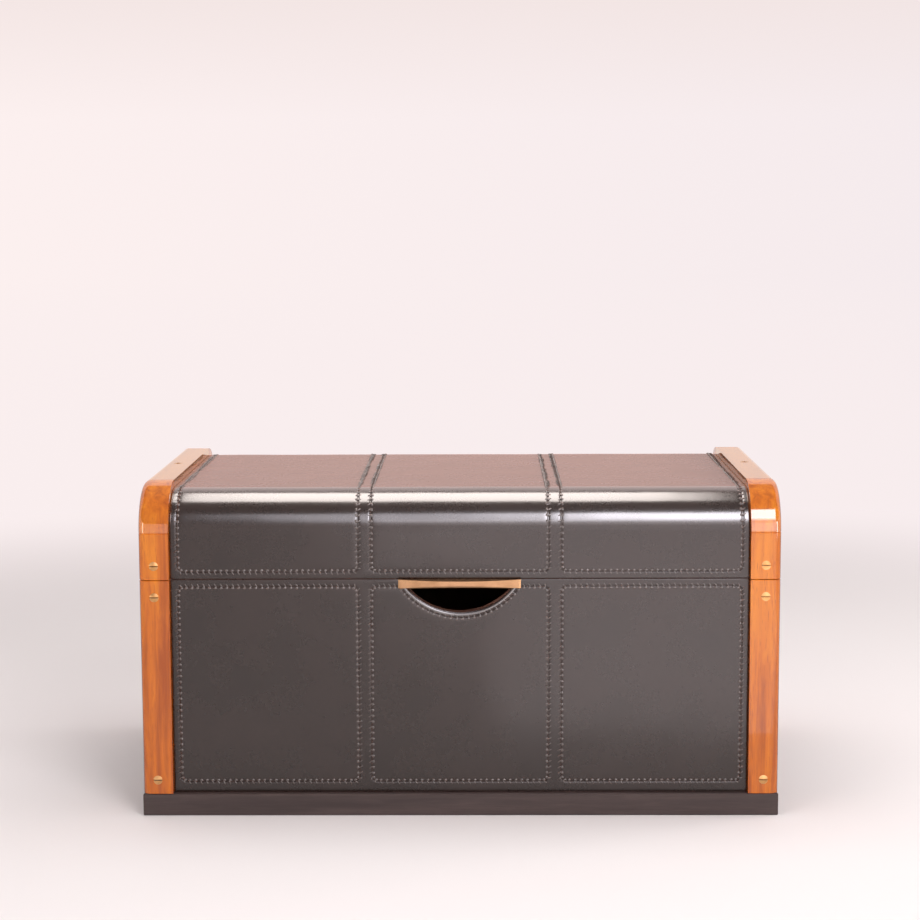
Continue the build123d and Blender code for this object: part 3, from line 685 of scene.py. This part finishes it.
def slab(outlines, edge, u_step, v_cuts, rise=0.25):
    """A thin pillow-edged sheet on the flat, ready to be laid on the trunk."""
    bm = bmesh.new()
    for mesh in outlines:
        bm.from_mesh(mesh)
    if len(outlines) == 1:
        bmesh.ops.contextual_create(bm, geom=bm.edges[:])
    else:
        bmesh.ops.triangle_fill(bm, edges=bm.edges[:], use_beauty=True, normal=(0, 0, 1))
    raised = bmesh.ops.extrude_face_region(bm, geom=bm.faces[:])["geom"]
    top = [g for g in raised if isinstance(g, bmesh.types.BMFace)]
    bmesh.ops.translate(bm, verts=[g for g in raised if isinstance(g, bmesh.types.BMVert)], vec=(0, 0, rise))
    bmesh.ops.recalc_face_normals(bm, faces=bm.faces)
    for width, lift in edge:
        bmesh.ops.inset_region(bm, faces=top, thickness=width, depth=lift, use_even_offset=True)
    wear = bm.verts.layers.float.new("wear")
    full = rise + sum(lift for _, lift in edge)
    for vert in bm.verts:
        vert[wear] = max(0.0, min(1.0, (full - vert.co.z) * 2.2)) if edge else 0
    left, right = min(v.co.x for v in bm.verts), max(v.co.x for v in bm.verts)
    for u in steps(left, right, u_step):
        cut(bm, (u, 0, 0), (1, 0, 0))
    for v in v_cuts:
        cut(bm, (0, v, 0), (0, 1, 0))
    return bm


def cut(bm, place, across):
    """Cuts the whole mesh along a plane."""
    geom = bm.verts[:] + bm.edges[:] + bm.faces[:]
    bmesh.ops.bisect_plane(bm, geom=geom, dist=1e-4, plane_co=place, plane_no=across)


def steps(start, stop, step):
    """Even places between two ends, about a step apart."""
    count = max(1, round((stop - start) / step))
    return [start + (stop - start) * i / count for i in range(1, count)]


def arch_cuts(radius, step):
    """Where a sheet that is laid over an arch is cut across: finely round the bends."""
    stops = [0] + arch_stops(radius)
    found = []
    for i, (start, stop) in enumerate(zip(stops, stops[1:])):
        found += steps(start, stop, bend_step if i in (1, 3) else step) + ([stop] if i < 4 else [])
    return found


def uneven(u, v, seed):
    """How far hide stands proud of true, in millimetres."""
    wide = noise.noise(Vector((u / 55, v / 55, seed)))
    small = noise.noise(Vector((u / 17, v / 17, seed + 9)))
    return 0.26 * wide + 0.06 * small


def lay(bm, where, sink, seed=None):
    """Moves each point of a flat slab to its place on the trunk, a little uneven if it has a seed."""
    for vert in bm.verts:
        u, v, h = vert.co
        rough = uneven(u, v, seed) if seed is not None and h > rough_above else 0
        vert.co = Vector(places[where](u, v, h - sink + rough)) * mm
    return faces_outward(bm)


def faces_outward(bm):
    """Turns the faces of one closed shell outwards: its volume then comes out above zero."""
    bmesh.ops.recalc_face_normals(bm, faces=bm.faces)
    if bm.calc_volume(signed=True) < 0:
        bmesh.ops.reverse_faces(bm, faces=bm.faces)
    return bm


def joined(parts):
    """Puts several closed shells into one mesh."""
    whole = bmesh.new()
    for part in parts:
        mesh = bpy.data.meshes.new("part")
        part.to_mesh(mesh)
        part.free()
        whole.from_mesh(mesh)
        bpy.data.meshes.remove(mesh)
    return whole


def make_piece(name, bm, finish, body, replaced=(), sharp=35):
    """Turns a mesh in progress into a finished object that rides on a body."""
    mesh = bpy.data.meshes.new(name)
    bm.to_mesh(mesh)
    bm.free()
    mesh.materials.append(finish)
    mesh.shade_smooth()
    mesh.set_sharp_from_angle(angle=radians(sharp))
    piece = bpy.data.objects.new(name, mesh)
    scene.collection.objects.link(piece)
    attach(piece, body)
    if replaced:
        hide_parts(*replaced)
    print(name, len(mesh.polygons), "faces")
    return piece


# %% [markdown]
# ## The skins and the raised panels
# On each long side a skin covers the wall and three panels are laced onto it. Between and around the
# panels the skin is padded up to the same height, so a panel and its strip meet in a narrow groove. The
# same is done on the lid in one long piece that runs from its front edge over the top to its back edge.
# In the grooves the flat skin shows, so every skin has a thin backing sheet under its strips.


# %% A skin with windows for its panels
sheet_sink, backing_sink, backing_in, backing_rise = 0.25, 1.05, 0.3, 1.0


def padded_skin(where, border, windows, v_cuts, seed, top_corner=0, bite=None, window_bites=()):
    """The raised strips round some windows, and the flat leather behind them."""
    outlines = [outline(*border, 0, top_corner, bite)]
    for i, (left, low, right, high, corner, corner_above) in enumerate(windows):
        grown = (left - groove, low - groove, right + groove, high + groove)
        shape = (corner + groove, corner_above + groove)
        outlines.append(outline(*grown, *shape, window_bites[i] if window_bites else None))
    strips = lay(slab(outlines, strip_edge, 10, v_cuts), where, sheet_sink, seed)
    left, low, right, high = border
    inside = (left + backing_in, low + backing_in, right - backing_in, high - backing_in)
    backing = slab([outline(*inside, 0, top_corner, bite)], (), 24, v_cuts, backing_rise)
    return joined([strips, lay(backing, where, backing_sink)])


# %% Skins and panels of the box
face_cuts = steps(foot, body_top, 9)
bite = (cutout_centre, cutout_radius)
window_bite = (cutout_centre, cutout_radius + rim_strip)
panel_bite = (cutout_centre, cutout_radius + rim_strip + groove)
for side, seed in (("front", 3.0), ("back", 21.0)):
    hole = side == "front"
    windows = [
        (start, panel_low, stop, panel_high, panel_corner, panel_corner) for start, stop in panels.values()
    ]
    skin = padded_skin(
        side,
        (-skin_half, foot, skin_half, body_top),
        windows,
        face_cuts,
        seed,
        bite=bite if hole else None,
        window_bites=[window_bite if hole and name == "centre" else None for name in panels],
    )
    make_piece(f"{side}_skin", skin, hide, "trunk_body", [f"body_{side}_leather"])
    for name, window in zip(panels, windows):
        line = outline(*window, bite=panel_bite if hole and name == "centre" else None)
        panel = lay(slab([line], pillow_edge, 9, face_cuts), side, sheet_sink, seed + 2)
        make_piece(f"{side}_{name}_hide", panel, hide, "trunk_body", [f"{side}_{name}_panel"])

# %% Skin and panels of the lid
lid_cuts = arch_cuts(skin_radius, 10)
lid_windows = [
    (start, seam_border, stop, arch_length - seam_border, panel_corner, panel_corner)
    for start, stop in panels.values()
]
skin = padded_skin("arch", (-skin_half, 0, skin_half, arch_length), lid_windows, lid_cuts, 40.0)
make_piece("lid_skin", skin, hide, "lid", ["lid_leather"])
for name, window in zip(panels, lid_windows):
    panel = lay(slab([outline(*window)], pillow_edge, 9, lid_cuts), "arch", sheet_sink, 44.0)
    make_piece(f"lid_{name}_hide", panel, hide, "lid", [f"lid_{name}_panel"])

# %% [markdown]
# ## The ends
# Nothing shows the ends, so they are covered as the long sides are: inside the wooden frame lies one
# laced panel with a strip round it, on the box and on the lid. The lid's panel follows the curve of the
# frame above it.

# %% Leather of the four ends
panel_side = end_half - seam_border
box_end = (-end_half, foot, end_half, body_top)
box_end_panel = (-panel_side, panel_low, panel_side, body_top - seam_border, panel_corner, panel_corner)
lid_end = (-end_half, lid_base, end_half, end_top)
lid_end_panel = (
    -panel_side,
    lid_base + seam_border,
    panel_side,
    end_top - seam_border,
    panel_corner,
    end_radius - seam_border,
)
for side, seed in (("left", 60.0), ("right", 70.0)):
    for part, body, border, window, radius in (
        ("body", "trunk_body", box_end, box_end_panel, 0),
        ("lid", "lid", lid_end, lid_end_panel, end_radius),
    ):
        v_cuts = steps(border[1], border[3], 9)
        skin = padded_skin(f"{side}_end", border, [window], v_cuts, seed, top_corner=radius)
        panel = slab([outline(*window)], pillow_edge, 9, v_cuts)
        panel = lay(panel, f"{side}_end", sheet_sink, seed + 2)
        replaced = [f"{part}_{side}_leather"]
        make_piece(f"{part}_{side}_hide", joined([skin, panel]), hide, body, replaced)

# %% [markdown]
# ## The lacing
# The panels are laced by hand with a narrow strip of waxed leather. Each loop shows as a plump bead on
# the panel and a thin slanting tail that crosses the groove and goes into the strip. The loops are 7.4 mm
# apart. One loop is made of two small spheres, stretched to the bead and the tail, and a copy is set at
# every place along every groove. A hand pulls some loops tighter than others, so their height wanders by
# half a millimetre along a row.

# %% One loop of lace
stitch_pitch = 7.4
bead_size, bead_place = (2.1, 1.8, 1.15), 1.9
tail_size, tail_place, tail_slant = (0.85, 3.0, 0.8), -1.3, radians(32)
lace_height, lace_uneven, lace_wave = 1.1, 0.85, 28
lace_lean, lean_waves, gap_at_bite = 0.25, 160, 3
bm = bmesh.new()
tail = bmesh.ops.create_uvsphere(bm, u_segments=6, v_segments=6, radius=1)["verts"]
bmesh.ops.rotate(bm, verts=tail, cent=(0, 0, 0), matrix=Matrix.Rotation(pi / 2, 3, "X"))
bmesh.ops.scale(bm, verts=tail, vec=tail_size)
bmesh.ops.rotate(bm, verts=tail, cent=(0, 0, 0), matrix=Matrix.Rotation(tail_slant, 3, "Z"))
bmesh.ops.translate(bm, verts=tail, vec=(0, tail_place, -0.1))
bead = bmesh.ops.create_uvsphere(bm, u_segments=8, v_segments=5, radius=1)["verts"]
bmesh.ops.scale(bm, verts=bead, vec=bead_size)
bmesh.ops.translate(bm, verts=bead, vec=(0, bead_place, 0))
bmesh.ops.scale(bm, verts=bm.verts, vec=(mm, mm, mm))
loop_of_lace = bpy.data.meshes.new("loop_of_lace")
bm.to_mesh(loop_of_lace)
bm.free()
print("faces in a loop of lace:", len(loop_of_lace.polygons))


# %% Rows of lace
def straight_row(start, stop):
    """Places along a straight groove, each with the way the groove runs."""
    run = Vector(stop) - Vector(start)
    count = max(1, round(run.length / stitch_pitch))
    return [(Vector(start) + run * (i + 0.5) / count, run.normalized()) for i in range(count)]


def round_row(centre, radius, first, last):
    """Places along a round groove from one angle to another."""
    count = max(1, round(radius * abs(last - first) / stitch_pitch))
    angles = [first + (last - first) * (i + 0.5) / count for i in range(count)]
    way = 1 if last > first else -1
    return [
        (Vector(centre) + Vector((cos(a), sin(a))) * radius, Vector((-sin(a), cos(a))) * way) for a in angles
    ]


def rows_round(left, low, right, high, corner, top_corner, bite=None):
    """Places all the way round a panel, on the middle line of its groove."""
    out = groove / 2
    rows = straight_row((left + corner, low - out), (right - corner, low - out))
    rows += round_row((right - corner, low + corner), corner + out, -pi / 2, 0)
    rows += straight_row((right + out, low + corner), (right + out, high - top_corner))
    rows += round_row((right - top_corner, high - top_corner), top_corner + out, 0, pi / 2)
    if bite:
        centre, radius = bite[0], bite[1] - out
        half = sqrt(radius**2 - (centre - high) ** 2)
        open_angle = asin(half / radius)
        rows += straight_row((right - top_corner, high + out), (half + gap_at_bite, high + out))
        rows += round_row((0, centre), radius, -pi / 2 + open_angle, -pi / 2 - open_angle)
        rows += straight_row((-half - gap_at_bite, high + out), (left + top_corner, high + out))
    else:
        rows += straight_row((right - top_corner, high + out), (left + top_corner, high + out))
    rows += round_row((left + top_corner, high - top_corner), top_corner + out, pi / 2, pi)
    rows += straight_row((left - out, high - top_corner), (left - out, low + corner))
    rows += round_row((left + corner, low + corner), corner + out, pi, 3 * pi / 2)
    return rows


def lacing(name, where, body, panel_rows):
    """Sets a loop of lace at every place."""
    bm = bmesh.new()
    for place, along in panel_rows:
        u, v = place
        pulled = noise.noise(Vector(places[where](u, v, 0)) / lace_wave)
        height = lace_height + lace_uneven * pulled
        middle = Vector(places[where](u, v, height)) * mm
        lean = lace_lean * noise.noise(middle * lean_waves)
        across_flat = Vector((-along.y, along.x, 0))
        across_flat.rotate(Matrix.Rotation(lean, 3, "Z"))
        out = (Vector(places[where](u, v, height + 1)) * mm - middle).normalized()
        across = Vector(places[where](u + across_flat.x, v + across_flat.y, height)) * mm - middle
        across = (across - out * across.dot(out)).normalized()
        turned = Matrix((across.cross(out), across, out)).transposed().to_4x4()
        copy = loop_of_lace.copy()
        copy.transform(Matrix.Translation(middle) @ turned)
        bm.from_mesh(copy)
        bpy.data.meshes.remove(copy)
    make_piece(name, bm, lace, body, sharp=80)


# %% Lace everything
for side in ("front", "back"):
    rows = []
    for name, (start, stop) in panels.items():
        bitten = panel_bite if side == "front" and name == "centre" else None
        rows += rows_round(start, panel_low, stop, panel_high, panel_corner, panel_corner, bitten)
    lacing(f"{side}_lacing", side, "trunk_body", rows)
lacing("lid_lacing", "arch", "lid", [place for window in lid_windows for place in rows_round(*window)])
for side in ("left", "right"):
    lacing(f"body_{side}_lacing", f"{side}_end", "trunk_body", rows_round(*box_end_panel))
    lacing(f"lid_{side}_lacing", f"{side}_end", "lid", rows_round(*lid_end_panel))

# %% [markdown]
# ## The rim of the finger hole
# A strip of leather is turned through the hole and bound over its edge at the front, so that fingers meet
# no sharp edge. The binding slopes into the hole, and that slope is what catches the light as a thin
# bright line. A section of it is drawn once, spun about the hole's centre, and cut off level with the top
# of the box.

# %% Bound rim
rim_section = (
    (88.2, 0.3),
    (88.2, 1.1),
    (88.0, 1.5),
    (87.5, 1.75),
    (85.9, 1.8),
    (84.7, 1.29),
    (84.2, 0.8),
    (83.8, 0.2),
    (83.6, -0.8),
    (83.6, -14.7),
    (84.0, -14.7),
    (84.0, 0.3),
)
bm = bmesh.new()
ring = [bm.verts.new((r, -skin_y - h, cutout_centre)) for r, h in rim_section]
face = bmesh.ops.contextual_create(bm, geom=ring)["faces"]
spread = radians(62)
start_turn = Matrix.Rotation(pi / 2 - spread, 3, "Y")
bmesh.ops.rotate(bm, verts=bm.verts, cent=(0, 0, cutout_centre), matrix=start_turn)
bmesh.ops.spin(bm, geom=face, cent=(0, 0, cutout_centre), axis=(0, 1, 0), angle=2 * spread, steps=48)
bmesh.ops.bisect_plane(
    bm,
    geom=bm.verts[:] + bm.edges[:] + bm.faces[:],
    dist=1e-4,
    plane_co=(0, 0, body_top - edge_play),
    plane_no=(0, 0, 1),
    clear_outer=True,
)
bmesh.ops.holes_fill(bm, edges=[e for e in bm.edges if e.is_boundary], sides=0)
bmesh.ops.recalc_face_normals(bm, faces=bm.faces)
bmesh.ops.scale(bm, verts=bm.verts, vec=(mm, mm, mm))
make_piece("cutout_rim", bm, rim_hide, "trunk_body")

# %% [markdown]
# ## The brass pull
# The pull is a bar as wide as a hand, screwed under the lid's front edge by a flange. Its front was filed
# to a narrow flat in the middle that widens towards the ends, so two slanting facets meet it in long
# curves. A section is drawn at one end and extruded along the bar, and at each station the flat gets its
# own height.

# %% Pull
pull_half, pull_low, pull_high = 76.5, 289.8, 301.3
pull_back, pull_front = -221.5, -226.5
end_chamfer, end_slope, swell, edge_depth = 2.6, 0.47, 1.7, 0.3
waist, flat_at_waist, facet_depth = 0.75, 2.9, 1.3
flange_size, flange_sink = (124, 15.6, 2.4), 0.05
inner_half = pull_half - end_chamfer


def pull_section(x):
    """The bar's outline at x: back, lower facet, flat and upper facet."""
    towards_end = min(1.0, abs(x) / inner_half) ** swell
    middle, half = (pull_low + pull_high) / 2, (pull_high - pull_low) / 2
    tall = half - waist * (1 - towards_end)
    flat = flat_at_waist + towards_end * (tall - flat_at_waist - edge_depth)
    front = pull_front + max(0.0, abs(x) - inner_half) * end_slope
    shoulder = front + facet_depth * (1 - towards_end) + edge_depth
    upper = ((front, flat), (shoulder, tall), (pull_back, half))
    lower = [(y, -z) for y, z in reversed(upper)]
    return [(x, y, middle + z) for y, z in (*lower, *upper)]


stations = [-pull_half, -inner_half] + steps(-inner_half, inner_half, 5) + [inner_half, pull_half]
bm = bmesh.new()
ring = [bm.verts.new(place) for place in pull_section(stations[0])]
bmesh.ops.contextual_create(bm, geom=ring)
ring_edges = bm.edges[:]
for x in stations[1:]:
    grown = bmesh.ops.extrude_edge_only(bm, edges=ring_edges)["geom"]
    ring_edges = [g for g in grown if isinstance(g, bmesh.types.BMEdge)]
    for vert, place in zip([g for g in grown if isinstance(g, bmesh.types.BMVert)], pull_section(x)):
        vert.co = place
bmesh.ops.contextual_create(bm, geom=ring_edges)
bmesh.ops.recalc_face_normals(bm, faces=bm.faces)
flange = bmesh.ops.create_cube(bm, size=1)["verts"]
bmesh.ops.scale(bm, verts=flange, vec=flange_size)
flange_place = (0, pull_back + flange_size[1] / 2 - flange_sink, lid_base - flange_size[2] / 2)
bmesh.ops.translate(bm, verts=flange, vec=flange_place)
flange_edges = list({e for v in flange for e in v.link_edges})
bmesh.ops.bevel(
    bm, geom=flange_edges, offset=0.3, segments=2, profile=0.5, affect="EDGES", material=-1
)
bmesh.ops.scale(bm, verts=bm.verts, vec=(mm, mm, mm))
make_piece("filed_pull", bm, pull_brass, "lid", ["lid_pull"], sharp=20)

# %% [markdown]
# ## The linings
# The inside is lined with cards that are wrapped in brushed cotton and glued to the boards: five in the
# box, the front one cut out at the finger hole, and in the lid one that bends with the arch and one on
# each end. A card is a slab like the leather ones, with a quicker edge.

# %% Linings
card_depth, card_play, card_rise = 1.6, 0.4, 0.3
card_x, card_y, card_top = inner_x - card_depth, inner_y - card_depth, body_top - card_play
card_bite = (cutout_centre, cutout_radius + 0.6)
box_cards = (
    ("box_floor", (-card_x, -card_y, card_x, card_y), None),
    ("box_front", (-inner_x, box_floor, inner_x, card_top), card_bite),
    ("box_back", (-inner_x, box_floor, inner_x, card_top), None),
    ("inner_left", (-card_y, box_floor, card_y, card_top), None),
    ("inner_right", (-card_y, box_floor, card_y, card_top), None),
)
cards = []
for where, shape, bitten in box_cards:
    cuts = steps(shape[1], shape[3], 40)
    card = slab([outline(*shape, 0, bite=bitten)], card_edge, 40, cuts, card_rise)
    cards.append(lay(card, where, 0))
make_piece("box_lining", joined(cards), cotton, "trunk_body", ["body_lining"])

lining_length = arch_stops(lining_radius)[-1]
bent_card = slab(
    [outline(-inner_x, card_play, inner_x, lining_length - card_play, 0)],
    card_edge,
    40,
    arch_cuts(lining_radius, 20),
    card_rise,
)
cards = [lay(bent_card, "inner_arch", 0)]
lid_card_top, card_corner = arc_z + lining_radius - card_depth, lining_radius - card_depth
for side in ("left", "right"):
    shape = outline(-card_y, lid_base + card_play, card_y, lid_card_top, 0, card_corner)
    card = slab([shape], card_edge, 40, steps(lid_base, lid_card_top, 20), card_rise)
    cards.append(lay(card, f"inner_{side}", 0))
make_piece("lid_inner_lining", joined(cards), cotton, "lid", ["lid_lining"])

# %% [markdown]
# ## The turned edges
# Where the lid meets the box, thin leather is turned over the edges of the boards. It leaves the hinges,
# the pull and the finger hole free. Narrow bands cover the gap between the boards and the skins.

# %% Leather over the boards' edges
hinge_in, hinge_out, hole_half, flange_half = 204.6, 275.4, 73.8, 62.4
lining = 1.5
edge_x, edge_y = board_x - edge_play, board_y - edge_play
lining_x, lining_y = inner_x - lining, inner_y - lining
lip_x, lip_y = end_x - edge_play, skin_y - edge_play
lip_half, lip_end = skin_half - edge_play, end_half - edge_play
for name, body, gap in (("box_edge", "trunk_body", hole_half), ("lid_edge", "lid", flange_half)):
    bands = [(s * gap, -edge_y, s * edge_x, -lining_y) for s in (-1, 1)]
    bands += [(s * hinge_out, lining_y, s * edge_x, edge_y) for s in (-1, 1)]
    bands += [(-hinge_in, lining_y, hinge_in, edge_y)]
    bands += [(s * lining_x, -lining_y, s * edge_x, lining_y) for s in (-1, 1)]
    bands += [(s * gap, -lip_y, s * lip_half, -edge_y) for s in (-1, 1)]
    bands += [(s * hinge_out, edge_y, s * lip_half, lip_y) for s in (-1, 1)]
    bands += [(-hinge_in, edge_y, hinge_in, lip_y)]
    bands += [(s * edge_x, -lip_end, s * lip_x, lip_end) for s in (-1, 1)]
    made = []
    for x1, y1, x2, y2 in bands:
        band = slab([outline(min(x1, x2), y1, max(x1, x2), y2, 0)], band_edge, 60, [], rise=0.2)
        made.append(lay(band, name, 0))
    make_piece(f"{name}_leather", joined(made), hide, body)
